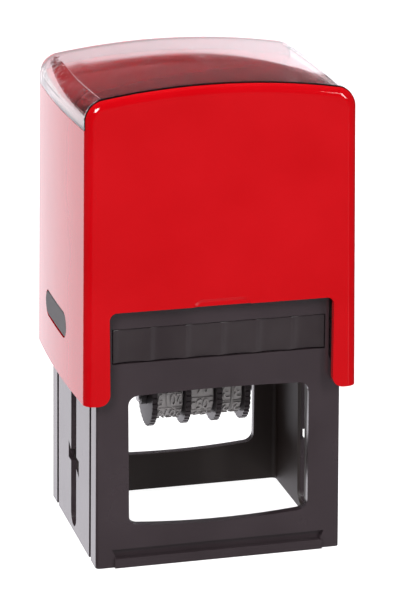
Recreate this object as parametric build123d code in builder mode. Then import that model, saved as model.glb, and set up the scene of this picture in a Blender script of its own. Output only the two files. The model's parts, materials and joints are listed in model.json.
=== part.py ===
"""Self-inking rotary date stamp: frame, press cover, flip-over print block, date bands and ink pad.

Millimetres. X runs to the right, -Y is the front, +Z is up. The origin is the middle of the base.
"""
from build123d import *
from math import radians, tan
import os

os.makedirs("parts", exist_ok=True)

# ---------------------------------------------------------------- driving dimensions
# Lower frame
frame_width = 60.2
frame_depth = 50.0
frame_height = 66.0
frame_wall = 2.2
frame_draft = 0.6
frame_corner = 1.0
frame_inner_corner = 1.2

# Press cover, which stands this far outside the frame at the sides and at the front and back
cover_side_reach = 2.8
cover_end_reach = 2.5
cover_bottom = 41.7
cover_top = 116.5
cover_wall = 1.6
cover_side_draft = 0.83
cover_front_draft = 0.6
cover_side_bow = 1.0
cover_corner = 2.6
cover_arch_radius = 170.0
cover_shoulder = 5.0

# Motion
stroke = 40.0
pivot_height = 44.5

# Print plate and its rubber die, with the room that the frame leaves them
plate_side_room = 5.1
plate_end_room = 5.0
plate_thickness = 1.2
plate_rise = 1.0
plate_corner = 1.0
die_margin = 1.0
die_sheet = 1.5
die_relief = 0.8

# Date bands and setting wheels, from left to right
axle_drop = 10.3
axle_radius = 1.2
disc_radius = 8.0
disc_thickness = 1.3
band_height = 6.4
band_thickness = 1.6
band_top_half = 4.4
band_top_round = 1.6
column_start = -12.2
column_gap = 0.2
band_widths = {"year": 6.7, "month": 6.0, "day_tens": 2.6, "day_units": 2.6}
cheek_thickness = 1.3

# Ink pad cartridge
pad_side_room = 4.5
pad_bottom = 50.9
pad_top = 59.0
felt_gap = 0.3
felt_proud = 1.4

# Index window and the deck under it
window_thickness = 1.5
window_drop = 4.3
window_side_drop = 9.5
deck_thickness = 1.6

# Springs
spring_inset = 13.1
spring_radius = 5.0
spring_wire = 0.9
spring_turns = 6

# Clearances
running = 0.05
slot_clearance = 0.18
sliding = 0.35
pad_clearance = 0.2
snap = 0.15
seam = 0.1

# ---------------------------------------------------------------- sizes that follow from them
cover_half_width = frame_width / 2 + cover_side_reach
cover_half_depth = frame_depth / 2 + cover_end_reach
plate_width = frame_width - 2 * plate_side_room
plate_depth = frame_depth - 2 * plate_end_room
pad_half_width = frame_width / 2 - pad_side_room
spring_spacing = frame_width - 2 * spring_inset
window_side_edge = cover_top - window_side_drop
die_face = plate_rise + plate_thickness + die_sheet + die_relief
face_height = pivot_height + die_face
axle_height = pivot_height - axle_drop


def frame_half(size, height):
    """Half of a frame width or depth at a height, on the drafted outer face."""
    return size / 2 - tan(radians(frame_draft)) * height


def cover_half(half_size, draft, height):
    """Half of the cover's width or depth at a height, on the drafted outer face."""
    return half_size - tan(radians(draft)) * (height - cover_bottom)


def save(builder, name):
    """Labels a finished piece and writes its STEP file."""
    builder.part.label = name
    export_step(builder.part, f"parts/{name}.step")


def frame_form(inset, height):
    """The frame's drafted outer form, moved in by inset, from the base up to height."""
    with BuildPart() as form:
        with BuildSketch():
            RectangleRounded(frame_width - 2 * inset, frame_depth - 2 * inset, frame_corner)
        extrude(amount=height, taper=frame_draft)
    return form.part


def frame_skin(depth):
    """Everything outside the frame's faces once those are moved in by depth."""
    with BuildPart() as skin:
        with Locations((0, 0, frame_height / 2)):
            Box(2 * frame_width, 2 * frame_depth, frame_height)
        add(frame_form(depth, frame_height), mode=Mode.SUBTRACT)
    return skin.part


def cover_section(height, inset):
    """The cover's plan outline at a height: flat front and back, bowed sides."""
    half_x = cover_half(cover_half_width, cover_side_draft, height) - inset
    half_y = cover_half(cover_half_depth, cover_front_draft, height) - inset
    with BuildSketch(Plane.XY.offset(height)) as section:
        with BuildLine():
            Line((-half_x, -half_y), (half_x, -half_y))
            ThreePointArc((half_x, -half_y), (half_x + cover_side_bow, 0), (half_x, half_y))
            Line((half_x, half_y), (-half_x, half_y))
            ThreePointArc((-half_x, half_y), (-half_x - cover_side_bow, 0), (-half_x, -half_y))
        make_face()
    return section.sketch


def arch_height(x, drop):
    """Height of the cover's arched top at x, lowered by drop."""
    radius = cover_arch_radius - drop
    return cover_top - cover_arch_radius + (radius**2 - x**2) ** 0.5


def under_arch(half_width, bottom, drop):
    """Profile in the XZ plane: a block whose top is the arch lowered by drop."""
    edge = arch_height(half_width, drop)
    with BuildSketch(Plane.XZ) as profile:
        with BuildLine():
            Line((-half_width, edge), (-half_width, bottom))
            Line((-half_width, bottom), (half_width, bottom))
            Line((half_width, bottom), (half_width, edge))
            ThreePointArc((half_width, edge), (0, cover_top - drop), (-half_width, edge))
        make_face()
    return profile.sketch


def cover_form(inset, bottom):
    """Solid inside the cover's outer form, moved in by inset, with arched top and round shoulders."""
    reach = cover_half_width + 2 * cover_side_bow
    with BuildPart() as form:
        add(cover_section(bottom, inset))
        add(cover_section(cover_top, inset))
        loft(ruled=True)
        extrude(under_arch(reach, bottom, inset), amount=2 * cover_half_depth, both=True,
                mode=Mode.INTERSECT)
        top_face = form.faces().sort_by(Axis.Z)[-1]
        shoulders = top_face.edges().sort_by(Axis.X)
        fillet([shoulders[0], shoulders[-1]], cover_shoulder - inset)
        for side in (0, -1):
            end_face = form.faces().sort_by(Axis.Y)[side]
            rim = end_face.edges().filter_by(lambda edge: edge.center().Z > bottom + snap)
            fillet(rim, cover_corner - inset)
    return form.part


def window_region(gap):
    """Space that the index window takes: between the front and back walls, above the side walls."""
    half_y = cover_half(cover_half_depth, cover_front_draft, cover_top) - cover_wall - gap
    with BuildPart() as region:
        with BuildSketch(Plane.XY.offset(window_side_edge + gap)):
            Rectangle(4 * cover_half_width, 2 * half_y)
        extrude(amount=cover_top)
    return region.part


# ---------------------------------------------------------------- lower frame
window_post = 8.1
window_low = 10.5
window_high = 42.5
window_sag = 1.1
window_rise = 0.5
window_corner = 2.4
sill_groove_low = 2.4
sill_groove_high = 4.5
sill_groove_inset = 3.9
sill_groove_depth = 1.2
lip_inset = 4.5
lip_proud = 0.7
cheek_step_inset = 3.4
cheek_step_low = 46.0
cheek_step_round = 3.5
cheek_step_depth = 1.1
key_radius = 2.75
kink_half = 5.75
kink_low = 15.9
kink_high = 21.6
kink_hook = 1.4
kink_depth = 1.5
guide_inset = 6.8
guide_width = 2.0
guide_depth = 1.2
shelf_low = 60.4
shelf_thickness = 2.0
shelf_embed = 0.3
spigot_height = 2.6
spigot_clearance = 0.35
rail_low = 54.7
rail_high = 55.5
rail_reach = 1.0
rail_inset = 5.5
push_half = 10.0
push_low = 52.5
push_high = 57.5
window_half = frame_width / 2 - window_post
sill_groove_half = frame_width / 2 - sill_groove_inset
lip_half = frame_width / 2 - lip_inset
cheek_step_half = frame_width / 2 - cheek_step_inset
guide_offset = frame_depth / 2 - guide_inset
rail_half_length = frame_depth / 2 - rail_inset
slot_half = key_radius + slot_clearance
shelf_high = shelf_low + shelf_thickness
spring_inner = spring_radius - spring_wire / 2

with BuildPart() as lower_frame:
    add(frame_form(0.0, frame_height))
    with BuildSketch():
        RectangleRounded(frame_width - 2 * frame_wall, frame_depth - 2 * frame_wall, frame_inner_corner)
    extrude(amount=frame_height, taper=frame_draft, mode=Mode.SUBTRACT)
    # Spring shelf, which also closes the pad bay from above, with a spigot in each spring
    shelf_half_x = frame_half(frame_width, shelf_high) - frame_wall + shelf_embed
    shelf_half_y = frame_half(frame_depth, shelf_high) - frame_wall + shelf_embed
    with BuildSketch(Plane.XY.offset(shelf_low)):
        Rectangle(2 * shelf_half_x, 2 * shelf_half_y)
    extrude(amount=shelf_thickness)
    with BuildSketch(Plane.XY.offset(shelf_high)):
        with GridLocations(spring_spacing, 0, 2, 1):
            Circle(spring_inner - spigot_clearance)
    extrude(amount=spigot_height)
    # Front and back windows
    with BuildSketch(Plane.XZ) as window_outline:
        with BuildLine():
            ThreePointArc((-window_half, window_low), (0, window_low - window_sag),
                          (window_half, window_low))
            Line((window_half, window_low), (window_half, window_high))
            ThreePointArc((window_half, window_high), (0, window_high + window_rise),
                          (-window_half, window_high))
            Line((-window_half, window_high), (-window_half, window_low))
        make_face()
        fillet(window_outline.vertices(), window_corner)
    extrude(amount=frame_depth, both=True, mode=Mode.SUBTRACT)
    # Cam slot in each side
    slot_low = pivot_height - stroke - slot_half - slot_clearance
    slot_high = pivot_height + slot_half + slot_clearance
    with BuildSketch(Plane.YZ):
        with Locations((0, (slot_low + slot_high) / 2)):
            SlotOverall(slot_high - slot_low, 2 * slot_half, rotation=90)
    extrude(amount=frame_width, both=True, mode=Mode.SUBTRACT)
    # Pad bay: the cartridge's mouth in front, a push hole behind, and a rail on each side
    mouth_half = pad_half_width + pad_clearance
    mouth_low = pad_bottom - pad_clearance
    mouth_high = pad_top + pad_clearance
    with Locations((0, -frame_depth / 2, (mouth_low + mouth_high) / 2)):
        Box(2 * mouth_half, 4 * frame_wall, mouth_high - mouth_low, mode=Mode.SUBTRACT)
    with Locations((0, frame_depth / 2, (push_low + push_high) / 2)):
        Box(2 * push_half, 4 * frame_wall, push_high - push_low, mode=Mode.SUBTRACT)
    rail_inner = pad_half_width - rail_reach
    rail_outer = frame_half(frame_width, rail_high) - frame_wall + shelf_embed
    for side in (-1, 1):
        with Locations((side * (rail_inner + rail_outer) / 2, 0, (rail_low + rail_high) / 2)):
            Box(rail_outer - rail_inner, 2 * rail_half_length, rail_high - rail_low)

# Blind notches beside the cam slot: the kink that turns the print block over
with BuildPart() as side_kinks:
    add(frame_skin(kink_depth))
    with BuildSketch(Plane.YZ) as kink_outline:
        with BuildLine():
            Polyline((0, kink_low + kink_hook), (kink_half, kink_low + kink_hook), (kink_half, kink_high),
                     (slot_half, kink_high - kink_hook), (0, kink_high - kink_hook))
            Polyline((0, kink_high - kink_hook), (-kink_half, kink_high - kink_hook),
                     (-kink_half, kink_low), (-slot_half, kink_low + kink_hook),
                     (0, kink_low + kink_hook))
        make_face()
    extrude(amount=frame_width, both=True, mode=Mode.INTERSECT)

with BuildPart() as side_guides:
    add(frame_skin(guide_depth))
    with GridLocations(0, 2 * guide_offset, 1, 2):
        Box(2 * frame_width, guide_width, 3 * frame_height, mode=Mode.INTERSECT)

with BuildPart() as sill_grooves:
    add(frame_skin(sill_groove_depth))
    with BuildSketch(Plane.XZ):
        slant = (sill_groove_high - sill_groove_low) / 2
        Polygon((-sill_groove_half, sill_groove_high), (slant - sill_groove_half, sill_groove_low),
                (sill_groove_half - slant, sill_groove_low), (sill_groove_half, sill_groove_high),
                align=None)
    extrude(amount=frame_depth, both=True, mode=Mode.INTERSECT)

with BuildPart() as cheek_steps:
    add(frame_skin(cheek_step_depth))
    with BuildSketch(Plane.XZ) as step_outline:
        step_outer = 2 * frame_width
        for side in (-1, 1):
            with Locations((side * (cheek_step_half + step_outer) / 2, cheek_step_low + frame_height / 2)):
                Rectangle(step_outer - cheek_step_half, frame_height)
        inner_corners = step_outline.vertices().group_by(Axis.Y)[0].sort_by(Axis.X)[1:3]
        fillet(inner_corners, cheek_step_round)
    extrude(amount=frame_depth, both=True, mode=Mode.INTERSECT)

with BuildPart() as front_lips:
    with BuildSketch():
        Rectangle(2 * lip_half, frame_depth + 2 * lip_proud)
    extrude(amount=sill_groove_low)
    with BuildSketch():
        Rectangle(2 * lip_half, frame_depth - frame_wall)
    extrude(amount=sill_groove_low, mode=Mode.SUBTRACT)

with BuildPart() as frame_body:
    add(lower_frame.part)
    add([side_kinks.part, side_guides.part, sill_grooves.part], mode=Mode.SUBTRACT)
    add(cheek_steps.part, mode=Mode.SUBTRACT)
    add(front_lips.part)
save(frame_body, "lower_frame")

# ---------------------------------------------------------------- press cover
notch_inset = 3.1
notch_high = 64.1
notch_round = 1.8
leg_round = 2.6
thumb_half = 6.4
thumb_high = 65.1
thumb_depth = 0.4
thumb_bevel = 65
button_height = 55.6
button_offset = 2.0
button_length = 23.6
button_width = 6.5

notch_half = frame_width / 2 - notch_inset
thumb_low = notch_high - notch_round
thumb_face = cover_half(cover_half_depth, cover_front_draft, notch_high)
with BuildPart() as thumb_recess:
    with BuildSketch(Plane.XZ.offset(thumb_face - thumb_depth)):
        with Locations((0, thumb_low)):
            RectangleRounded(2 * thumb_half, 2 * (thumb_high - thumb_low), notch_round)
    extrude(amount=thumb_depth + snap, taper=-thumb_bevel)

with BuildPart() as cover_shell:
    add(cover_form(0.0, cover_bottom))
    add(cover_form(cover_wall, cover_bottom), mode=Mode.SUBTRACT)
    add(window_region(0.0), mode=Mode.SUBTRACT)
    # Notch in front and behind, which leaves a leg at each corner
    with BuildSketch(Plane.XZ) as notch:
        with Locations((0, cover_bottom)):
            Rectangle(2 * notch_half, 2 * (notch_high - cover_bottom))
        fillet(notch.vertices(), notch_round)
        with Locations((0, cover_bottom - leg_round)):
            Rectangle(2 * notch_half, 2 * leg_round)
    extrude(amount=2 * cover_half_depth, both=True, mode=Mode.SUBTRACT)
    fillet(cover_shell.edges().filter_by(Axis.Y).group_by(Axis.Z)[0], leg_round)
    # Windows for the lock buttons
    with BuildSketch(Plane.YZ):
        with Locations((button_offset, button_height)):
            SlotOverall(button_length, button_width)
    extrude(amount=2 * cover_half_width, both=True, mode=Mode.SUBTRACT)
    add(thumb_recess.part, mode=Mode.SUBTRACT)
save(cover_shell, "cover_shell")

with BuildPart() as index_window:
    add(cover_form(0.0, cover_bottom))
    add(cover_form(window_thickness, cover_bottom), mode=Mode.SUBTRACT)
    add(window_region(seam), mode=Mode.INTERSECT)
save(index_window, "index_window")

# ---------------------------------------------------------------- carrier under the cover
arm_bottom = 41.4
arm_inset = 5.5
arm_pin_radius = 2.2
arm_window_gap = 0.4
flange_length = 25.6
flange_width = 8.4
guide_rib_width = 1.3
guide_rib_top = 49.0
seat_radius = 6.0
seat_depth = 0.8
arm_half = frame_depth / 2 - arm_inset
deck_low = cover_top - window_drop - deck_thickness
arm_inner_low = frame_half(frame_width, cover_bottom - stroke) + sliding
arm_inner_high = frame_half(frame_width, frame_height) + sliding
arm_taper_top = frame_height + stroke
seat_face = arch_height(spring_spacing / 2 + seat_radius, window_drop + deck_thickness) - seat_depth
guide_bottom = frame_half(frame_width, cover_bottom - stroke) - guide_depth

with BuildPart() as carrier_bridge:
    add(cover_form(cover_wall + snap, arm_bottom))
    # Take away everything above the deck, then the space inside the arms
    with BuildSketch(Plane.XZ):
        deck_reach = cover_half_width
        deck_edge = arch_height(deck_reach, window_drop)
        with BuildLine():
            ThreePointArc((-deck_reach, deck_edge), (0, cover_top - window_drop), (deck_reach, deck_edge))
            Polyline((deck_reach, deck_edge), (deck_reach, 2 * cover_top), (-deck_reach, 2 * cover_top),
                     (-deck_reach, deck_edge))
        make_face()
    extrude(amount=2 * cover_half_depth, both=True, mode=Mode.SUBTRACT)
    with BuildSketch(Plane.XZ):
        under_edge = arch_height(arm_inner_high, window_drop + deck_thickness)
        with BuildLine():
            Polyline((-arm_inner_high, under_edge), (-arm_inner_high, arm_taper_top),
                     (-arm_inner_low, arm_bottom), (arm_inner_low, arm_bottom),
                     (arm_inner_high, arm_taper_top), (arm_inner_high, under_edge))
            ThreePointArc((arm_inner_high, under_edge), (0, deck_low), (-arm_inner_high, under_edge))
        make_face()
    extrude(amount=2 * cover_half_depth, both=True, mode=Mode.SUBTRACT)
    with BuildSketch(Plane.YZ):
        trim = 2 * cover_half_depth
        with GridLocations(2 * arm_half + trim, 0, 2, 1):
            Rectangle(trim, 2 * arm_taper_top)
    extrude(amount=2 * cover_half_width, both=True, mode=Mode.SUBTRACT)
    # Lock button windows and pivot pin bores
    with BuildSketch(Plane.YZ):
        with Locations((button_offset, button_height)):
            Rectangle(flange_length + 2 * arm_window_gap, flange_width + 2 * arm_window_gap)
        with Locations((0, pivot_height)):
            Circle(arm_pin_radius + running)
    extrude(amount=2 * cover_half_width, both=True, mode=Mode.SUBTRACT)
    # Guide ribs that run in the frame's side grooves
    rib_inner = guide_bottom + sliding
    rib_outer = arm_inner_low + running
    for side in (-1, 1):
        with Locations((side * (rib_inner + rib_outer) / 2, 0, (arm_bottom + guide_rib_top) / 2)):
            with GridLocations(0, 2 * guide_offset, 1, 2):
                Box(rib_outer - rib_inner, guide_rib_width, guide_rib_top - arm_bottom)
    # Spring seats under the deck, each with a spigot
    with BuildSketch(Plane.XY.offset(seat_face)):
        with GridLocations(spring_spacing, 0, 2, 1):
            Circle(seat_radius)
    extrude(amount=deck_low - seat_face - deck_thickness)
    with BuildSketch(Plane.XY.offset(seat_face)):
        with GridLocations(spring_spacing, 0, 2, 1):
            Circle(spring_inner - spigot_clearance)
    extrude(amount=-spigot_height)
save(carrier_bridge, "carrier_bridge")

# ---------------------------------------------------------------- lock buttons
button_sink = 0.1
flange_thickness = 0.5
flange_gap = 0.2
button_clearance = 0.3
cover_inner_end = cover_half(cover_half_width, cover_side_draft, button_height) - cover_wall
flange_far_end = button_offset + flange_length / 2
button_bow = cover_side_bow * (1 - (flange_far_end / cover_half_depth) ** 2)
flange_outer = cover_inner_end + button_bow - flange_gap
button_face = cover_half(cover_half_width, cover_side_draft, button_height) + cover_side_bow - button_sink

for side, name in ((-1, "left"), (1, "right")):
    with BuildPart() as lock_button:
        with BuildSketch(Plane.YZ.offset(side * flange_outer)):
            with Locations((button_offset, button_height)):
                Rectangle(flange_length, flange_width)
        extrude(amount=-side * flange_thickness)
        with BuildSketch(Plane.YZ.offset(side * flange_outer)):
            with Locations((button_offset, button_height)):
                SlotOverall(button_length - 2 * button_clearance, button_width - 2 * button_clearance)
        extrude(amount=side * (button_face - flange_outer))
        cap_face = lock_button.faces().sort_by(Axis.X)[0 if side < 0 else -1]
        fillet(cap_face.edges(), button_clearance)
    save(lock_button, f"lock_button_{name}")

# ---------------------------------------------------------------- return springs
for side, name in ((-1, "left"), (1, "right")):
    spring_low = shelf_high + spring_wire / 2
    spring_high = seat_face - spring_wire / 2
    spring_length = spring_high - spring_low
    with BuildPart() as return_spring:
        with BuildLine() as coil:
            Helix(spring_length / spring_turns, spring_length, spring_radius,
                  center=(side * spring_spacing / 2, 0, spring_low))
        with BuildSketch(Plane(coil.line @ 0, z_dir=coil.line % 0)):
            Circle(spring_wire / 2)
        sweep()
    save(return_spring, f"return_spring_{name}")

# ---------------------------------------------------------------- ink pad cartridge
die_half_x = plate_width / 2 - die_margin
die_half_y = plate_depth / 2 - die_margin
felt_margin = 0.6
felt_half_x = die_half_x + felt_margin
felt_half_y = die_half_y + felt_margin
felt_face = face_height + felt_gap
tray_ceiling = 53.6
tray_slab = 2.8
tray_wall = 0.9
grip_depth = 1.7
grip_flutes = 6
flute_depth = 0.6
pad_front = frame_half(frame_depth, pad_top)
pad_rear = frame_half(frame_depth, pad_top) - frame_wall - sliding
pad_rim = felt_face + felt_proud
rail_clearance = 0.15

with BuildPart() as ink_pad_tray:
    with BuildSketch(Plane.XY.offset(pad_rim)):
        with Locations((0, (pad_rear - pad_front + grip_depth) / 2)):
            Rectangle(2 * pad_half_width, pad_rear + pad_front - grip_depth)
    extrude(amount=tray_ceiling + tray_slab - pad_rim)
    with BuildSketch(Plane.XY.offset(pad_rim)):
        Rectangle(2 * (felt_half_x + running), 2 * (felt_half_y + running))
    extrude(amount=tray_ceiling - pad_rim, mode=Mode.SUBTRACT)
    # Fluted finger grip, which closes the frame's mouth
    with BuildSketch(Plane.XZ.offset(pad_front - grip_depth)):
        with Locations((0, (pad_bottom + pad_top) / 2)):
            Rectangle(2 * pad_half_width, pad_top - pad_bottom)
    extrude(amount=grip_depth)
    flute_pitch = 2 * pad_half_width / grip_flutes
    flute_radius = (flute_pitch**2 / 4 + flute_depth**2) / (2 * flute_depth)
    with BuildSketch(Plane.XY.offset(pad_bottom)):
        with Locations((0, -pad_front - flute_radius + flute_depth)):
            with GridLocations(flute_pitch, 0, grip_flutes, 1):
                Circle(flute_radius)
    extrude(amount=pad_top - pad_bottom, mode=Mode.SUBTRACT)
    # Grooves for the frame's rails, open at the rear
    groove_length = rail_half_length + pad_rear
    groove_middle = (rail_half_length + pad_rear) / 2 - rail_half_length
    for side in (-1, 1):
        with Locations((side * pad_half_width, groove_middle, (rail_low + rail_high) / 2)):
            Box(2 * (rail_reach + rail_clearance), groove_length + 2 * rail_clearance,
                rail_high - rail_low + 2 * rail_clearance, mode=Mode.SUBTRACT)
save(ink_pad_tray, "ink_pad_tray")

with BuildPart() as ink_pad_felt:
    with BuildSketch(Plane.XY.offset(felt_face)):
        Rectangle(2 * felt_half_x, 2 * felt_half_y)
    extrude(amount=tray_ceiling - felt_face)
save(ink_pad_felt, "ink_pad_felt")

# ---------------------------------------------------------------- print block
column_widths = list(band_widths.values())
column_total = sum(column_widths) + 4 * disc_thickness + 8 * column_gap
column_end = column_start + column_total
date_margin = 1.3
block_edge = 1.5
block_thickness = 2.0
block_end_thickness = 1.8
block_end_half = 8.0
block_end_low = 8.0
block_end_high = 3.4
block_end_round = 3.0
pin_seat_radius = 1.6
pin_engagement = 1.3
plate_low = pivot_height + plate_rise
block_half_y = plate_depth / 2 - block_edge
block_end_outer = plate_width / 2 + seam + block_end_thickness
band_climb = (face_height - plate_low + block_thickness) / (face_height - axle_height)
date_half_y = band_top_half + (band_height - band_top_half) * band_climb + seam
plate_high = plate_low + plate_thickness
date_left = column_start - cheek_thickness - date_margin
date_right = column_end + cheek_thickness + date_margin
date_middle = (date_left + date_right) / 2
date_half_x = (date_right - date_left) / 2

with BuildPart() as print_block:
    with BuildSketch(Plane.XY.offset(plate_low - block_thickness)):
        Rectangle(2 * (plate_width / 2 + seam), 2 * block_half_y)
        with Locations((date_middle, 0)):
            Rectangle(2 * date_half_x, 2 * date_half_y, mode=Mode.SUBTRACT)
    extrude(amount=block_thickness)
    # End walls outside the plate, with the pivot pin seats
    for side in (-1, 1):
        with BuildSketch(Plane.YZ.offset(side * (plate_width / 2 + seam))) as end_wall:
            with Locations((0, pivot_height + (block_end_high - block_end_low) / 2)):
                RectangleRounded(2 * block_end_half, block_end_high + block_end_low, block_end_round)
            with Locations((0, pivot_height)):
                Circle(pin_seat_radius, mode=Mode.SUBTRACT)
        extrude(amount=side * (block_end_outer - plate_width / 2 - seam))
save(print_block, "print_block")

with BuildPart() as backing_plate:
    with BuildSketch(Plane.XY.offset(plate_low)):
        RectangleRounded(plate_width, plate_depth, plate_corner)
        with Locations((date_middle, 0)):
            Rectangle(2 * date_half_x, 2 * date_half_y, mode=Mode.SUBTRACT)
    extrude(amount=plate_thickness)
save(backing_plate, "backing_plate")

border_inset = 0.6
border_width = 1.0
rule_margin = 7.0
rule_width = 0.8
rule_offset = 11.5
date_frame_width = 0.8

with BuildPart() as text_die:
    with BuildSketch(Plane.XY.offset(plate_high)):
        Rectangle(2 * die_half_x, 2 * die_half_y)
        with Locations((date_middle, 0)):
            Rectangle(2 * date_half_x, 2 * date_half_y, mode=Mode.SUBTRACT)
    extrude(amount=die_sheet)
    with BuildSketch(Plane.XY.offset(plate_high + die_sheet)):
        Rectangle(2 * (die_half_x - border_inset), 2 * (die_half_y - border_inset))
        Rectangle(2 * (die_half_x - border_inset - border_width),
                  2 * (die_half_y - border_inset - border_width), mode=Mode.SUBTRACT)
        with GridLocations(0, 2 * rule_offset, 1, 2):
            Rectangle(plate_width - 2 * rule_margin, rule_width)
        with Locations((date_middle, 0)):
            Rectangle(2 * (date_half_x + date_frame_width), 2 * (date_half_y + date_frame_width))
            Rectangle(2 * date_half_x, 2 * date_half_y, mode=Mode.SUBTRACT)
    extrude(amount=die_relief)
save(text_die, "text_die")

# Pivot pins: a seat in the block, a key in the frame's cam slot, a journal in the carrier arm
pin_outer = arm_inner_low + pin_engagement
for side, name in ((-1, "left"), (1, "right")):
    with BuildPart() as pivot_pin:
        with BuildSketch(Plane.YZ.offset(side * (plate_width / 2 + seam))):
            with Locations((0, pivot_height)):
                Circle(pin_seat_radius)
        extrude(amount=side * (block_end_outer - plate_width / 2 - seam))
        with BuildSketch(Plane.YZ.offset(side * block_end_outer)):
            with Locations((0, pivot_height)):
                Circle(key_radius)
        extrude(amount=side * (arm_inner_low - sliding / 2 - block_end_outer))
        with BuildSketch(Plane.YZ.offset(side * (arm_inner_low - sliding / 2))):
            with Locations((0, pivot_height)):
                Circle(arm_pin_radius)
        extrude(amount=side * (pin_outer - arm_inner_low + sliding / 2))
    save(pivot_pin, f"pivot_pin_{name}")

# ---------------------------------------------------------------- date band unit
cheek_foot_half = 7.0
cheek_boss = 2.6
cheek_neck_half = 3.4
anvil_half_y = band_top_half - band_thickness - snap
anvil_high = face_height - band_thickness - seam
anvil_depth = 1.8
axle_end = 0.5
axle_head_radius = 1.9
axle_head = 0.6

for name, inner, outward in (("left", column_start, -1), ("right", column_end, 1)):
    with BuildPart() as cheek:
        with BuildSketch(Plane.YZ.offset(inner)):
            with BuildSketch(mode=Mode.PRIVATE) as foot:
                with Locations((0, plate_low - block_thickness - block_thickness / 2)):
                    Rectangle(2 * cheek_foot_half, block_thickness)
                with Locations((0, axle_height)):
                    Circle(cheek_boss)
                make_hull()
            add(foot.sketch)
            with Locations((0, (axle_height + anvil_high) / 2)):
                Rectangle(2 * cheek_neck_half, anvil_high - axle_height)
            with Locations((0, anvil_high - anvil_depth / 2)):
                Rectangle(2 * anvil_half_y, anvil_depth, mode=Mode.SUBTRACT)
            with Locations((0, axle_height)):
                Circle(axle_radius, mode=Mode.SUBTRACT)
        extrude(amount=outward * cheek_thickness)
    save(cheek, f"band_cheek_{name}")

with BuildPart() as band_anvil:
    with BuildSketch(Plane.YZ.offset(column_start - cheek_thickness)) as anvil_outline:
        with Locations((0, anvil_high - anvil_depth / 2)):
            Rectangle(2 * anvil_half_y, anvil_depth)
    extrude(amount=column_total + 2 * cheek_thickness)
save(band_anvil, "band_anvil")

with BuildPart() as wheel_axle:
    axle_left = column_start - cheek_thickness
    axle_length = column_total + 2 * cheek_thickness
    with BuildSketch(Plane.YZ.offset(axle_left)):
        with Locations((0, axle_height)):
            Circle(axle_radius)
    extrude(amount=axle_length)
    for start, outward in ((axle_left, -1), (axle_left + axle_length, 1)):
        with BuildSketch(Plane.YZ.offset(start)):
            with Locations((0, axle_height)):
                Circle(axle_head_radius)
        extrude(amount=outward * axle_head)
save(wheel_axle, "wheel_axle")


def setting_wheel(disc_left, hub_left, hub_length):
    """Knurled finger disc with a hub that turns the band, bored for the axle."""
    knurls = 36
    knurl_radius = 0.35
    hub_radius = band_height - band_thickness - column_gap
    with BuildPart() as wheel:
        with BuildSketch(Plane.YZ.offset(disc_left)):
            with Locations((0, axle_height)):
                Circle(disc_radius)
                with PolarLocations(disc_radius, knurls):
                    Circle(knurl_radius, mode=Mode.SUBTRACT)
        extrude(amount=disc_thickness)
        with BuildSketch(Plane.YZ.offset(hub_left)):
            with Locations((0, axle_height)):
                Circle(hub_radius)
        extrude(amount=hub_length)
        with BuildSketch(Plane.YZ.offset(column_start)):
            with Locations((0, axle_height)):
                Circle(axle_radius + running)
        extrude(amount=column_total, mode=Mode.SUBTRACT)
    return wheel


def band_loop(left, width):
    """Closed rubber band over the hub below and the anvil above."""
    rounds = ((0, axle_height, band_height), (band_top_round - band_top_half, face_height - band_top_round,
              band_top_round), (band_top_half - band_top_round, face_height - band_top_round, band_top_round))
    with BuildPart() as band:
        for shrink, mode in ((0.0, Mode.ADD), (band_thickness, Mode.SUBTRACT)):
            with BuildSketch(Plane.YZ.offset(left)):
                for y, z, radius in rounds:
                    with Locations((y, z)):
                        Circle(max(radius - shrink, running))
                make_hull()
            extrude(amount=width, mode=mode)
    return band


left = column_start + column_gap / 2
for name, width in band_widths.items():
    disc_first = name != "day_units"
    disc_left = left if disc_first else left + width + column_gap
    band_left = left + disc_thickness + column_gap if disc_first else left
    column_width = disc_thickness + column_gap + width
    save(setting_wheel(disc_left, left, column_width + column_gap / 2 * disc_first), f"{name}_wheel")
    save(band_loop(band_left, width), f"{name}_band")
    left += column_width + column_gap
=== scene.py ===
"""Looks of a self-inking rotary date stamp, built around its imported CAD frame. Metres throughout."""
import json
import math

import bpy
import bmesh
from mathutils import Matrix, Vector


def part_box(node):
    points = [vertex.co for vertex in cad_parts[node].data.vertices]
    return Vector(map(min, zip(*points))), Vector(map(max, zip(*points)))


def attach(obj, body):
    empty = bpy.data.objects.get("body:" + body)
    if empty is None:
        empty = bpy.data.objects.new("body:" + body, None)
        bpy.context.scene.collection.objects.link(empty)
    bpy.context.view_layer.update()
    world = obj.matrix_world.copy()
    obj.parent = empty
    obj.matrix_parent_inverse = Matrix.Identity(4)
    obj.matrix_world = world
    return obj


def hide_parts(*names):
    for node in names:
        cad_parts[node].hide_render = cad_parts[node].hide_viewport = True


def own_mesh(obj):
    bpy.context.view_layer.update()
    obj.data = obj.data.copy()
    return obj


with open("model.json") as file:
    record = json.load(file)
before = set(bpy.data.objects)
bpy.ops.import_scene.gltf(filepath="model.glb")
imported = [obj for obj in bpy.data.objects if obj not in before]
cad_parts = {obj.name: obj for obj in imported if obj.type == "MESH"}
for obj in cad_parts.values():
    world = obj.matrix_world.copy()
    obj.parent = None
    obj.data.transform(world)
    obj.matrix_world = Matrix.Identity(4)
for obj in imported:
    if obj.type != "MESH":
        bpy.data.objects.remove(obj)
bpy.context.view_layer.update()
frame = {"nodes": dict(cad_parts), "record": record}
MM = 0.001
BODY_OF = {node: body for body, nodes in frame["record"]["behaviour"]["bodies"].items() for node in nodes}
SLOT_OF = {part["node"]: part["material_slot"] for part in frame["record"]["subparts"]}


# ---------------------------------------------------------------- materials
def new_material(name):
    """A node material with a Principled shader; returns (material, nodes, links, shader)."""
    material = bpy.data.materials.new(name)
    material.use_nodes = True
    nodes = material.node_tree.nodes
    links = material.node_tree.links
    return material, nodes, links, nodes["Principled BSDF"]


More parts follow.
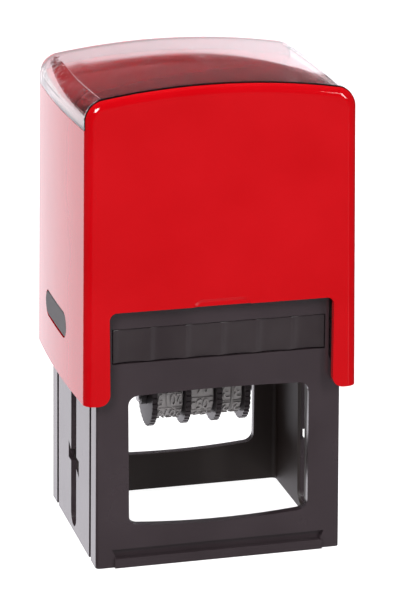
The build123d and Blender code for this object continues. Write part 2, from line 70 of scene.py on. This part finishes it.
def math_node(nodes, links, operation, *values):
    """A math node fed with numbers or sockets; returns its output socket."""
    node = nodes.new("ShaderNodeMath")
    node.operation = operation
    for index, value in enumerate(values):
        if isinstance(value, float):
            node.inputs[index].default_value = value
        else:
            links.new(value, node.inputs[index])
    return node.outputs["Value"]


def object_noise(nodes, links, scale, detail=3.0, stretch=(1, 1, 1)):
    """A noise texture in object space, so it keeps its size on every piece."""
    coordinates = nodes.new("ShaderNodeTexCoord")
    mapping = nodes.new("ShaderNodeMapping")
    mapping.inputs["Scale"].default_value = stretch
    noise = nodes.new("ShaderNodeTexNoise")
    noise.inputs["Scale"].default_value = scale
    noise.inputs["Detail"].default_value = detail
    links.new(coordinates.outputs["Object"], mapping.inputs["Vector"])
    links.new(mapping.outputs["Vector"], noise.inputs["Vector"])
    return noise


def vary_colour(nodes, links, shader, noise, dark, light):
    """Colour that drifts between two values with the noise."""
    ramp = nodes.new("ShaderNodeValToRGB")
    ramp.color_ramp.elements[0].position = 0.3
    ramp.color_ramp.elements[0].color = (*dark, 1)
    ramp.color_ramp.elements[1].position = 0.7
    ramp.color_ramp.elements[1].color = (*light, 1)
    links.new(noise.outputs["Fac"], ramp.inputs["Fac"])
    links.new(ramp.outputs["Color"], shader.inputs["Base Color"])


def vary_roughness(nodes, links, shader, noise, low, high):
    """Roughness that drifts between two values with the noise."""
    spread = nodes.new("ShaderNodeMapRange")
    spread.inputs["To Min"].default_value = low
    spread.inputs["To Max"].default_value = high
    links.new(noise.outputs["Fac"], spread.inputs["Value"])
    links.new(spread.outputs["Result"], shader.inputs["Roughness"])


def add_bump(nodes, links, shader, noise, strength, depth):
    """Fine surface relief from the noise."""
    bump = nodes.new("ShaderNodeBump")
    bump.inputs["Strength"].default_value = strength
    bump.inputs["Distance"].default_value = depth
    links.new(noise.outputs["Fac"], bump.inputs["Height"])
    links.new(bump.outputs["Normal"], shader.inputs["Normal"])


DRIFT_SCALE = 60.0
GRAIN_DEPTH = 0.02 * MM
FIBRE_DEPTH = 0.12 * MM
FINE_GRAIN, RUBBER_GRAIN, BUTTON_GRAIN, COVER_GRAIN = 2500.0, 1200.0, 1500.0, 700.0
STYRENE_IOR = 1.49
SPECULAR, FRAME_SPECULAR = 0.5, 0.95


def moulded_plastic(name, dark, light, roughness, grain=FINE_GRAIN, relief=0.05, specular=SPECULAR):
    """Injection-moulded plastic: slight colour drift, uneven gloss and a fine spark-eroded grain."""
    material, nodes, links, shader = new_material(name)
    drift = object_noise(nodes, links, DRIFT_SCALE)
    vary_colour(nodes, links, shader, drift, dark, light)
    vary_roughness(nodes, links, shader, drift, *roughness)
    fine = object_noise(nodes, links, grain, detail=2.0)
    add_bump(nodes, links, shader, fine, relief, GRAIN_DEPTH)
    shader.inputs["Specular IOR Level"].default_value = specular
    return material


def object_axes(nodes, links):
    """Sockets with the object-space X, Y and Z of the shaded point."""
    coordinates = nodes.new("ShaderNodeTexCoord")
    split = nodes.new("ShaderNodeSeparateXYZ")
    links.new(coordinates.outputs["Object"], split.inputs["Vector"])
    return split.outputs["X"], split.outputs["Y"], split.outputs["Z"]


def blend_where(nodes, links, mask, colour, roughness):
    """Another colour and roughness where the mask is 1."""
    shader = nodes["Principled BSDF"]
    for socket, kind, value in (("Base Color", "RGBA", (*colour, 1)), ("Roughness", "FLOAT", roughness)):
        blend = nodes.new("ShaderNodeMix")
        blend.data_type = kind
        factor, first, second = [entry for entry in blend.inputs if entry.enabled]
        links.new(mask, factor)
        links.new(shader.inputs[socket].links[0].from_socket, first)
        second.default_value = value
        links.new(next(entry for entry in blend.outputs if entry.enabled), shader.inputs[socket])


def darken_inside(material, half_x, half_y):
    """Duller plastic between the planes at half_x and half_y, and darker there as painted shade inside the
    frame's walls.
    """
    nodes, links = material.node_tree.nodes, material.node_tree.links
    across, along, _ = object_axes(nodes, links)
    tests = [math_node(nodes, links, "LESS_THAN", math_node(nodes, links, "ABSOLUTE", axis), half)
             for axis, half in ((across, half_x), (along, half_y))]
    # The darker colour is painted shade; the higher roughness is the duller plastic inside.
    blend_where(nodes, links, math_node(nodes, links, "MULTIPLY", *tests), (0.014, 0.008, 0.0065), 0.55)


def redden_above(material, height, front, back):
    """Painted red reflection above height, under the index window, which deepens to black, painted shade,
    from back to front.
    """
    nodes, links = material.node_tree.nodes, material.node_tree.links
    _, along, up = object_axes(nodes, links)
    fade = nodes.new("ShaderNodeMapRange")
    fade.inputs["From Min"].default_value = front
    fade.inputs["From Max"].default_value = back
    links.new(along, fade.inputs["Value"])
    above = math_node(nodes, links, "GREATER_THAN", up, height)
    mask = math_node(nodes, links, "MULTIPLY", above, fade.outputs["Result"])
    # Painted reflection of the red back wall, fading to painted shade toward the front.
    blend_where(nodes, links, mask, (0.55, 0.006, 0.010), 0.12)


def inked_felt(name):
    """Dense felt soaked with dark ink: matt fibres with a damp sheen here and there."""
    material, nodes, links, shader = new_material(name)
    fibres = object_noise(nodes, links, 1400.0, detail=6.0, stretch=(1, 2.5, 1))
    vary_colour(nodes, links, shader, fibres, (0.006, 0.006, 0.012), (0.030, 0.030, 0.055))
    vary_roughness(nodes, links, shader, fibres, 0.55, 0.95)
    add_bump(nodes, links, shader, fibres, 0.8, FIBRE_DEPTH)
    shader.inputs["Sheen Weight"].default_value = 0.3
    return material


def clear_plastic(name):
    """Clear styrene with a faint pink tint, for the index window."""
    material, nodes, links, shader = new_material(name)
    haze = object_noise(nodes, links, 80.0)
    vary_roughness(nodes, links, shader, haze, 0.0, 0.03)
    shader.inputs["Base Color"].default_value = (0.97, 0.86, 0.87, 1)
    shader.inputs["Transmission Weight"].default_value = 1.0
    shader.inputs["IOR"].default_value = STYRENE_IOR
    return material


def drawn_steel(name):
    """Drawn spring wire, with a fine drift in colour and gloss."""
    material, nodes, links, shader = new_material(name)
    drawn = object_noise(nodes, links, 900.0)
    vary_colour(nodes, links, shader, drawn, (0.50, 0.50, 0.50), (0.62, 0.61, 0.60))
    vary_roughness(nodes, links, shader, drawn, 0.22, 0.34)
    shader.inputs["Metallic"].default_value = 1.0
    return material


SLOT_MATERIALS = {
    "cover_red": moulded_plastic("cover_red", (0.38, 0.001, 0.003), (0.415, 0.0018, 0.0045), (0.04, 0.08),
                                 grain=COVER_GRAIN, relief=0.010),
    "frame_black": moulded_plastic("frame_black", (0.026, 0.018, 0.021), (0.034, 0.024, 0.028),
                                   (0.20, 0.28), specular=FRAME_SPECULAR),
    "carrier_black": moulded_plastic("carrier_black", (0.016, 0.010, 0.011), (0.022, 0.014, 0.015),
                                     (0.05, 0.10)),
    "button_grey": moulded_plastic("button_grey", (0.080, 0.075, 0.080), (0.11, 0.105, 0.11), (0.52, 0.66),
                                   grain=BUTTON_GRAIN, relief=0.15),
    "pad_black": moulded_plastic("pad_black", (0.024, 0.018, 0.020), (0.034, 0.027, 0.029), (0.14, 0.22)),
    "felt_ink": inked_felt("felt_ink"),
    "window_clear": clear_plastic("window_clear"),
    "block_black": moulded_plastic("block_black", (0.018, 0.014, 0.015), (0.026, 0.021, 0.023),
                                   (0.25, 0.35)),
    "die_rubber": moulded_plastic("die_rubber", (0.20, 0.17, 0.18), (0.24, 0.20, 0.21), (0.55, 0.7),
                                  relief=0.2),
    "band_rubber": moulded_plastic("band_rubber", (0.22, 0.205, 0.205), (0.33, 0.31, 0.31), (0.45, 0.6),
                                   grain=RUBBER_GRAIN, relief=0.3),
    "wheel_plastic": moulded_plastic("wheel_plastic", (0.022, 0.016, 0.018), (0.032, 0.024, 0.027),
                                     (0.30, 0.40)),
    "steel": drawn_steel("steel"),
}
# Planes in the middle of the frame's walls, inside which shade is painted, and the deck's height, with the
# depth range of its painted red reflection
WALL_MIDDLE_X, WALL_MIDDLE_Y = 28.5 * MM, 23.3 * MM
DECK_LOW, DECK_FRONT, DECK_BACK = 108 * MM, -26 * MM, 10 * MM
# Painted shade inside the frame's walls, with duller plastic there.
darken_inside(SLOT_MATERIALS["frame_black"], WALL_MIDDLE_X, WALL_MIDDLE_Y)
# Painted red reflection on the deck under the index window.
redden_above(SLOT_MATERIALS["carrier_black"], DECK_LOW, DECK_FRONT, DECK_BACK)
# Darker rubber on the characters' side walls: painted shade.
SIDE_SHADE_RUBBER = moulded_plastic("character_side_painted_shade", (0.055, 0.050, 0.050), (0.11, 0.10, 0.10), (0.5, 0.65),
                               grain=RUBBER_GRAIN, relief=0.3)


def dress_cad_nodes():
    """Gives every CAD node the procedural material of its slot."""
    for node, slot in SLOT_OF.items():
        mesh = frame["nodes"][node].data
        mesh.materials.clear()
        mesh.materials.append(SLOT_MATERIALS[slot])


# ---------------------------------------------------------------- pieces
SHARP_ANGLE = math.radians(35)
BEVEL_ANGLE = math.radians(40)
FLAT_ANGLE = math.radians(0.3)
WELD = 0.0005 * MM


def add_piece(name, mesh, node, extra=()):
    """Puts a mesh in the scene as a piece that stands for a CAD node and takes its slot and its body."""
    mesh.materials.clear()
    for material in (SLOT_MATERIALS[SLOT_OF[node]], *extra):
        mesh.materials.append(material)
    piece = bpy.data.objects.new(name, mesh)
    bpy.context.scene.collection.objects.link(piece)
    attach(piece, BODY_OF[node])
    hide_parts(node)
    return piece


def finished_mesh(name, work):
    """Turns a bmesh into a mesh with smooth rounds and sharp corners."""
    bmesh.ops.recalc_face_normals(work, faces=work.faces)
    mesh = bpy.data.meshes.new(name)
    work.to_mesh(mesh)
    work.free()
    mesh.shade_smooth()
    mesh.set_sharp_from_angle(angle=SHARP_ANGLE)
    return mesh


def bevelled_copy(node, width):
    """A CAD node with its sharp edges rounded as a mould leaves them, and its flat faces kept flat."""
    work = bmesh.new()
    work.from_mesh(frame["nodes"][node].data)
    bmesh.ops.remove_doubles(work, verts=work.verts, dist=WELD)
    bmesh.ops.dissolve_limit(work, angle_limit=FLAT_ANGLE, verts=work.verts, edges=work.edges)
    cleaned = bpy.data.meshes.new("cleaned")
    work.to_mesh(cleaned)
    work.free()
    cleaned.shade_smooth()
    holder = bpy.data.objects.new("holder", cleaned)
    bpy.context.scene.collection.objects.link(holder)
    bevel = holder.modifiers.new("edges", "BEVEL")
    bevel.width = width
    bevel.segments = 2
    bevel.limit_method = "ANGLE"
    bevel.angle_limit = BEVEL_ANGLE
    bevel.use_clamp_overlap = True
    bevel.miter_outer = "MITER_ARC"
    bevel.harden_normals = True
    holder.modifiers.new("triangles", "TRIANGULATE").keep_custom_normals = True
    flats = holder.modifiers.new("flats", "WEIGHTED_NORMAL")
    flats.keep_sharp = True
    ready = holder.evaluated_get(bpy.context.evaluated_depsgraph_get())
    rounded = bpy.data.meshes.new_from_object(ready)
    bpy.data.objects.remove(holder)
    bpy.data.meshes.remove(cleaned)
    add_piece(f"{node}_moulding", rounded, node)


def ring_loft(work, rings):
    """Skins closed rings of points, in order, and caps both ends."""
    loops = [[work.verts.new(point) for point in ring] for ring in rings]
    for lower, upper in zip(loops, loops[1:]):
        for index in range(len(lower)):
            follow = (index + 1) % len(lower)
            work.faces.new((lower[index], lower[follow], upper[follow], upper[index]))
    work.faces.new(list(reversed(loops[0])))
    work.faces.new(loops[-1])


def rounded_outline(half_x, half_y, radius, height, steps=6):
    """Points of a rounded rectangle about the origin at a height."""
    points = []
    for quarter, (sign_x, sign_y) in enumerate(((1, 1), (-1, 1), (-1, -1), (1, -1))):
        for step in range(steps + 1):
            angle = math.pi / 2 * (quarter + step / steps)
            points.append((sign_x * (half_x - radius) + radius * math.cos(angle),
                           sign_y * (half_y - radius) + radius * math.sin(angle), height))
    return points


def make_felt():
    """The ink pad's felt: a soft slab with rounded lower edges and a slight crown."""
    low, high = (Vector(corner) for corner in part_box("ink_pad_felt"))
    half_x, half_y = (high.x - low.x) / 2, (high.y - low.y) / 2
    edge = 0.9 * MM
    corner = 1.4 * edge
    crown = 0.25 * MM
    face_rings, edge_steps = 8, 6
    rings = []
    for step in range(1, face_rings + 1):
        share = step / (face_rings + 1)
        rings.append(rounded_outline((half_x - edge) * share, (half_y - edge) * share, edge * share,
                                     low.z + crown * share**4))
    for step in range(edge_steps + 1):
        angle = math.pi / 2 * step / edge_steps
        inset = edge * (1 - math.sin(angle))
        rings.append(rounded_outline(half_x - inset, half_y - inset, corner,
                                     low.z + crown + edge * (1 - math.cos(angle))))
    rings.append(rounded_outline(half_x, half_y, corner, high.z))
    work = bmesh.new()
    ring_loft(work, rings)
    felt = add_piece("ink_felt", finished_mesh("ink_felt", work), "ink_pad_felt")


def make_spring(side):
    """Compression spring with closed ends: its lower end stands on the frame, its upper on the cover."""
    node = f"return_spring_{side}"
    low, high = (Vector(corner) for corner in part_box(node))
    wire = 0.45 * MM
    middle = (low + high) / 2
    radius = (high.x - low.x) / 2 - wire
    active_turns, closed_turns = 6, 1
    turns = active_turns + 2 * closed_turns
    closed_rise = 2.1 * wire
    travel = high.z - low.z - 2 * wire
    per_turn, around = 48, 12
    work = bmesh.new()
    rings = []
    for step in range(turns * per_turn + 1):
        turn = step / per_turn
        if turn < closed_turns:
            rise = closed_rise * turn
        elif turn > turns - closed_turns:
            rise = travel - closed_rise * (turns - turn)
        else:
            share = (turn - closed_turns) / active_turns
            rise = closed_rise * closed_turns + (travel - 2 * closed_rise * closed_turns) * share
        angle = 2 * math.pi * turn
        outward = Vector((math.cos(angle), math.sin(angle), 0))
        centre = Vector((middle.x, middle.y, low.z + wire + rise)) + outward * radius
        ring = []
        for spoke in range(around):
            turned = 2 * math.pi * spoke / around
            ring.append(centre + (outward * math.cos(turned) + Vector((0, 0, 1)) * math.sin(turned)) * wire)
        rings.append(ring)
    ring_loft(work, rings)
    spring = add_piece(f"coil_spring_{side}", finished_mesh("coil_spring", work), node)
    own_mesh(spring)


# ---------------------------------------------------------------- date bands
# Character pads on each band, the band's shape, and how far its layers lie below the outer face
FACES = 13
BAND_THICKNESS = 1.6 * MM
TOP_ROUND = 1.6 * MM
TOP_HALF = 4.4 * MM
BELT_DROP = 0.95 * MM
PAD_DROP = 0.55 * MM
LETTER_DROP = 0.02 * MM
PAD_GAP = 0.28 * MM
LETTER_SIDE_ROOM = 0.75 * MM
LETTER_END_ROOM = 1.35 * MM
LETTER_WIDTH = 0.72
LETTER_STRETCH = 3.0


class BandPath:
    """The outer loop of a date band in the YZ plane: hub arc below, two small arcs at the top."""

    ARC_STEP = math.radians(5)

    def __init__(self, node):
        low, high = (Vector(corner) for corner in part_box(node))
        hub = (high.y - low.y) / 2
        corner = TOP_HALF - TOP_ROUND
        circles = [(0.0, low.z + hub, hub), (corner, high.z - TOP_ROUND, TOP_ROUND),
                   (-corner, high.z - TOP_ROUND, TOP_ROUND)]
        normals = []
        for (y0, z0, r0), (y1, z1, r1) in zip(circles, circles[1:] + circles[:1]):
            span = math.hypot(y1 - y0, z1 - z0)
            heading = math.atan2(z1 - z0, y1 - y0)
            normals.append(heading - math.acos((r0 - r1) / span))
        self.points = []
        flat_start = 0
        for index, (y, z, radius) in enumerate(circles):
            start, end = normals[index - 1], normals[index]
            while end < start:
                end += math.tau
            steps = max(4, round((end - start) / self.ARC_STEP))
            for step in range(steps + 1):
                angle = start + (end - start) * step / steps
                self.points.append((y + radius * math.cos(angle), z + radius * math.sin(angle), angle))
            if index == 1:
                flat_start = len(self.points) - 1
        self.points.append(self.points[0])
        self.marks = [0.0]
        for (y0, z0, _), (y1, z1, _) in zip(self.points, self.points[1:]):
            self.marks.append(self.marks[-1] + math.hypot(y1 - y0, z1 - z0))
        self.length = self.marks[-1]
        self.top = self.marks[flat_start] + corner
        self.left, self.right = low.x, high.x

    def place(self, x, along, drop):
        """Point at x, a distance along the loop and a drop below its outer face."""
        along %= self.length
        index = next(i for i in range(len(self.marks) - 1) if self.marks[i + 1] >= along)
        span = self.marks[index + 1] - self.marks[index]
        share = (along - self.marks[index]) / span if span > 1e-9 else 0.0
        (y0, z0, a0), (y1, z1, a1) = self.points[index], self.points[index + 1]
        turn = (a1 - a0 + math.pi) % math.tau - math.pi
        angle = a0 + turn * share
        return Vector((x, y0 + (y1 - y0) * share - drop * math.cos(angle),
                       z0 + (z1 - z0) * share - drop * math.sin(angle)))


def add_belt(work, path):
    """The band's plain belt under its character pads."""
    steps = 120
    side = 0.15 * MM
    section = [(path.left + side, BELT_DROP), (path.right - side, BELT_DROP),
               (path.right, BELT_DROP + side), (path.right, BAND_THICKNESS),
               (path.left, BAND_THICKNESS), (path.left, BELT_DROP + side)]
    loops = [[work.verts.new(path.place(x, path.length * step / steps, drop)) for x, drop in section]
             for step in range(steps)]
    for lower, upper in zip(loops, loops[1:] + loops[:1]):
        for index in range(len(section)):
            follow = (index + 1) % len(section)
            work.faces.new((lower[index], lower[follow], upper[follow], upper[index]))


def add_pad(work, path, middle, half_length):
    """One raised character pad, bent to the loop, with sloping sides."""
    margin, slope, steps = 0.18 * MM, 0.16 * MM, 6
    rows = []
    for drop, inset in ((BELT_DROP, 0.0), (PAD_DROP, slope)):
        left, right = path.left + margin + inset, path.right - margin - inset
        stations = [middle + (half_length - inset) * (2 * step / steps - 1) for step in range(steps + 1)]
        rows.append([[work.verts.new(path.place(x, along, drop)) for along in stations]
                     for x in (left, right)])
    (base_left, base_right), (face_left, face_right) = rows
    for step in range(steps):
        follow = step + 1
        work.faces.new((face_left[step], face_right[step], face_right[follow], face_left[follow]))
        work.faces.new((base_left[step], face_left[step], face_left[follow], base_left[follow]))
        work.faces.new((face_right[step], base_right[step], base_right[follow], face_right[follow]))
    for end in (0, steps):
        work.faces.new((base_left[end], base_right[end], face_right[end], face_left[end]))


def add_characters(work, path, middle, text, height):
    """Raised characters, mirrored as on any stamp, on the pad about middle."""
    curve = bpy.data.curves.new("characters", "FONT")
    curve.body = text
    curve.align_x = "CENTER"
    curve.resolution_u = 3
    half_depth = 0.5
    curve.extrude = half_depth
    holder = bpy.data.objects.new("characters", curve)
    bpy.context.scene.collection.objects.link(holder)
    bpy.context.view_layer.update()
    ready = holder.evaluated_get(bpy.context.evaluated_depsgraph_get())
    shape = ready.to_mesh()
    lows = [min(vertex.co[axis] for vertex in shape.vertices) for axis in (0, 1)]
    highs = [max(vertex.co[axis] for vertex in shape.vertices) for axis in (0, 1)]
    room = path.right - path.left - LETTER_SIDE_ROOM
    width = min(room, height * LETTER_WIDTH * len(text))
    scale_x = width / (highs[0] - lows[0])
    scale_y = min(height / (highs[1] - lows[1]), LETTER_STRETCH * scale_x)
    centre_x = (path.left + path.right) / 2
    corners = []
    for vertex in shape.vertices:
        x = centre_x - (vertex.co.x - (lows[0] + highs[0]) / 2) * scale_x
        along = middle + (vertex.co.y - (lows[1] + highs[1]) / 2) * scale_y
        drop = PAD_DROP * (half_depth - vertex.co.z) + LETTER_DROP * (half_depth + vertex.co.z)
        corners.append(work.verts.new(path.place(x, along, drop)))
    for polygon in shape.polygons:
        face = work.faces.new([corners[index] for index in polygon.vertices])
        # Side walls take the second, darker material as painted shade; the faces keep the band's rubber.
        face.material_index = 0 if polygon.normal.z > 0.5 else 1
    ready.to_mesh_clear()
    bpy.data.objects.remove(holder)
    bpy.data.curves.remove(curve)


def make_band(name, texts, shown, shift):
    """A date band with one text per pad; pad number shown lies at the printing face, off by shift."""
    node = f"{name}_band"
    path = BandPath(node)
    work = bmesh.new()
    add_belt(work, path)
    pitch = path.length / FACES
    for index in range(FACES):
        middle = path.top + shift - (index - shown) * pitch
        add_pad(work, path, middle, pitch / 2 - PAD_GAP)
        add_characters(work, path, middle, texts[index % len(texts)], pitch - LETTER_END_ROOM)
    add_piece(f"{name}_date_band", finished_mesh("date_band", work), node, extra=(SIDE_SHADE_RUBBER,))


YEARS = [str(2010 + index) for index in range(FACES)]
MONTHS = [f"-{month:02d}-" for month in range(1, FACES)] + ["-"]
TENS = ["0", "1", "2", "3"]
UNITS = [str(index) for index in range(10)]

dress_cad_nodes()
make_felt()
make_spring("left")
make_spring("right")
make_band("year", YEARS, 9, 1.1 * MM)
make_band("month", MONTHS, 9, -1.4 * MM)
make_band("day_tens", TENS, 2, 0.3 * MM)
make_band("day_units", UNITS, 7, 0.3 * MM)
bevelled_copy("lower_frame", 0.22 * MM)
bevelled_copy("ink_pad_tray", 0.15 * MM)


# ---------------------------------------------------------------- studio
# Azimuth, elevation and roll, and the rest of the one camera that was fitted to the photograph's edges
CAMERA_ANGLES = [math.radians(degrees) for degrees in (-14.807, 17.660, 0.284)]
CAMERA_DISTANCE = 0.69855
CAMERA_TARGET = Vector((0.001777, 0.0, 0.056749))
LENS = 173.075
SENSOR = 36.0


def add_camera():
    """Long lens, a little from the left and above."""
    azimuth, elevation, roll = CAMERA_ANGLES
    back = Vector((math.sin(azimuth) * math.cos(elevation), -math.cos(azimuth) * math.cos(elevation),
                   math.sin(elevation)))
    right = (-back).cross(Vector((0, 0, 1))).normalized()
    up = right.cross(-back)
    rolled_right = right * math.cos(roll) + up * math.sin(roll)
    rolled_up = up * math.cos(roll) - right * math.sin(roll)
    data = bpy.data.cameras.new("camera")
    data.lens = LENS
    data.sensor_width = SENSOR
    camera = bpy.data.objects.new("camera", data)
    bpy.context.scene.collection.objects.link(camera)
    matrix = Matrix((rolled_right, rolled_up, back)).transposed().to_4x4()
    matrix.translation = CAMERA_TARGET + back * CAMERA_DISTANCE
    camera.matrix_world = matrix
    bpy.context.scene.camera = camera


def add_softbox(name, place, aim, size, watts, mirrored=True):
    """A rectangular area light at place, turned to aim; mirrored is whether gloss shows it."""
    data = bpy.data.lights.new(name, "AREA")
    data.shape = "RECTANGLE"
    data.size, data.size_y = size
    data.energy = watts
    light = bpy.data.objects.new(name, data)
    bpy.context.scene.collection.objects.link(light)
    light.location = place
    light.rotation_euler = (Vector(aim) - Vector(place)).to_track_quat("-Z", "Y").to_euler()
    light.visible_glossy = mirrored


def add_floor():
    """Plain white table that glows by itself, as a product table lit from below does."""
    material, _, _, shader = new_material("floor_white")
    shader.inputs["Base Color"].default_value = (0.3, 0.3, 0.3, 1)
    shader.inputs["Roughness"].default_value = 0.9
    shader.inputs["Specular IOR Level"].default_value = 0.0
    shader.inputs["Emission Color"].default_value = (1, 1, 1, 1)
    shader.inputs["Emission Strength"].default_value = 0.95
    mesh = bpy.data.meshes.new("floor")
    half = 3.0
    mesh.from_pydata([(-half, -half, 0), (half, -half, 0), (half, half, 0), (-half, half, 0)], [],
                     [(0, 1, 2, 3)])
    mesh.materials.append(material)
    floor = bpy.data.objects.new("floor", mesh)
    bpy.context.scene.collection.objects.link(floor)
    floor.visible_glossy = False


# Dark flag's edge, fitted to where the sheen ends on the index window's arch in the photograph: the
# directions where Z + SLOPE X + SQUARE X^2 + CUBE X^3 is EDGE
FLAG_SLOPE = -0.233
FLAG_SQUARE = 1.798
FLAG_CUBE = 0.424
FLAG_EDGE = 0.2777
FLAG_BLUR = 0.0009
FLAG_LIGHT = 0.04
# Directions, by Y for the sweep and by X for the card, between which their light rises
SWEEP_FROM, SWEEP_TO = -0.55, 0.45
SWEEP_DARK, SWEEP_LIGHT = 0.12, 1.55
CARD_FROM, CARD_TO = 0.46, 0.66
CARD_LIGHT = 1.1


def smooth_range(nodes, links, value, bounds, results):
    """Eases from the first result to the second as the value crosses the bounds; returns a socket."""
    ease = nodes.new("ShaderNodeMapRange")
    ease.interpolation_type = "SMOOTHSTEP"
    ease.inputs["From Min"].default_value, ease.inputs["From Max"].default_value = bounds
    ease.inputs["To Min"].default_value, ease.inputs["To Max"].default_value = results
    links.new(value, ease.inputs["Value"])
    return ease.outputs["Result"]


def add_world():
    """Studio round the table: white sweep behind, card low on the right, dark flag above and beside."""
    world = bpy.data.worlds.new("studio")
    bpy.context.scene.world = world
    world.use_nodes = True
    nodes, links = world.node_tree.nodes, world.node_tree.links
    direction = nodes.new("ShaderNodeTexCoord")
    split = nodes.new("ShaderNodeSeparateXYZ")
    links.new(direction.outputs["Generated"], split.inputs["Vector"])
    across, depth, up = split.outputs["X"], split.outputs["Y"], split.outputs["Z"]
    sweep = smooth_range(nodes, links, depth, (SWEEP_FROM, SWEEP_TO), (SWEEP_DARK, SWEEP_LIGHT))
    card = smooth_range(nodes, links, across, (CARD_FROM, CARD_TO), (0.0, CARD_LIGHT))
    bend = math_node(nodes, links, "MULTIPLY_ADD", across, FLAG_CUBE, FLAG_SQUARE)
    bend = math_node(nodes, links, "MULTIPLY_ADD", bend, across, FLAG_SLOPE)
    bend = math_node(nodes, links, "MULTIPLY_ADD", bend, across, up)
    flag = smooth_range(nodes, links, bend, (FLAG_EDGE - FLAG_BLUR, FLAG_EDGE + FLAG_BLUR),
                        (1.0, FLAG_LIGHT))
    lit = math_node(nodes, links, "MAXIMUM", sweep, card)
    background = nodes["Background"]
    links.new(math_node(nodes, links, "MULTIPLY", lit, flag), background.inputs["Strength"])
    background.inputs["Color"].default_value = (0.97, 0.94, 1.0, 1)


add_camera()
add_floor()
add_world()
BODY_CENTRE, DECK_CENTRE = (0, 0, 0.06), (0, 0, 0.1)
add_softbox("key", (-0.55, -0.75, 0.75), BODY_CENTRE, size=(0.36, 0.36), watts=10.0)
add_softbox("fill", (0.55, -0.70, 0.50), BODY_CENTRE, size=(0.16, 0.50), watts=4.0)
add_softbox("wash", (0.0, -1.0, 0.25), BODY_CENTRE, size=(0.6, 0.4), watts=1.5, mirrored=False)
add_softbox("overhead", (0.0, 0.2, 0.9), DECK_CENTRE, size=(0.8, 0.8), watts=11.0, mirrored=False)
bpy.context.scene.view_settings.view_transform = "Standard"
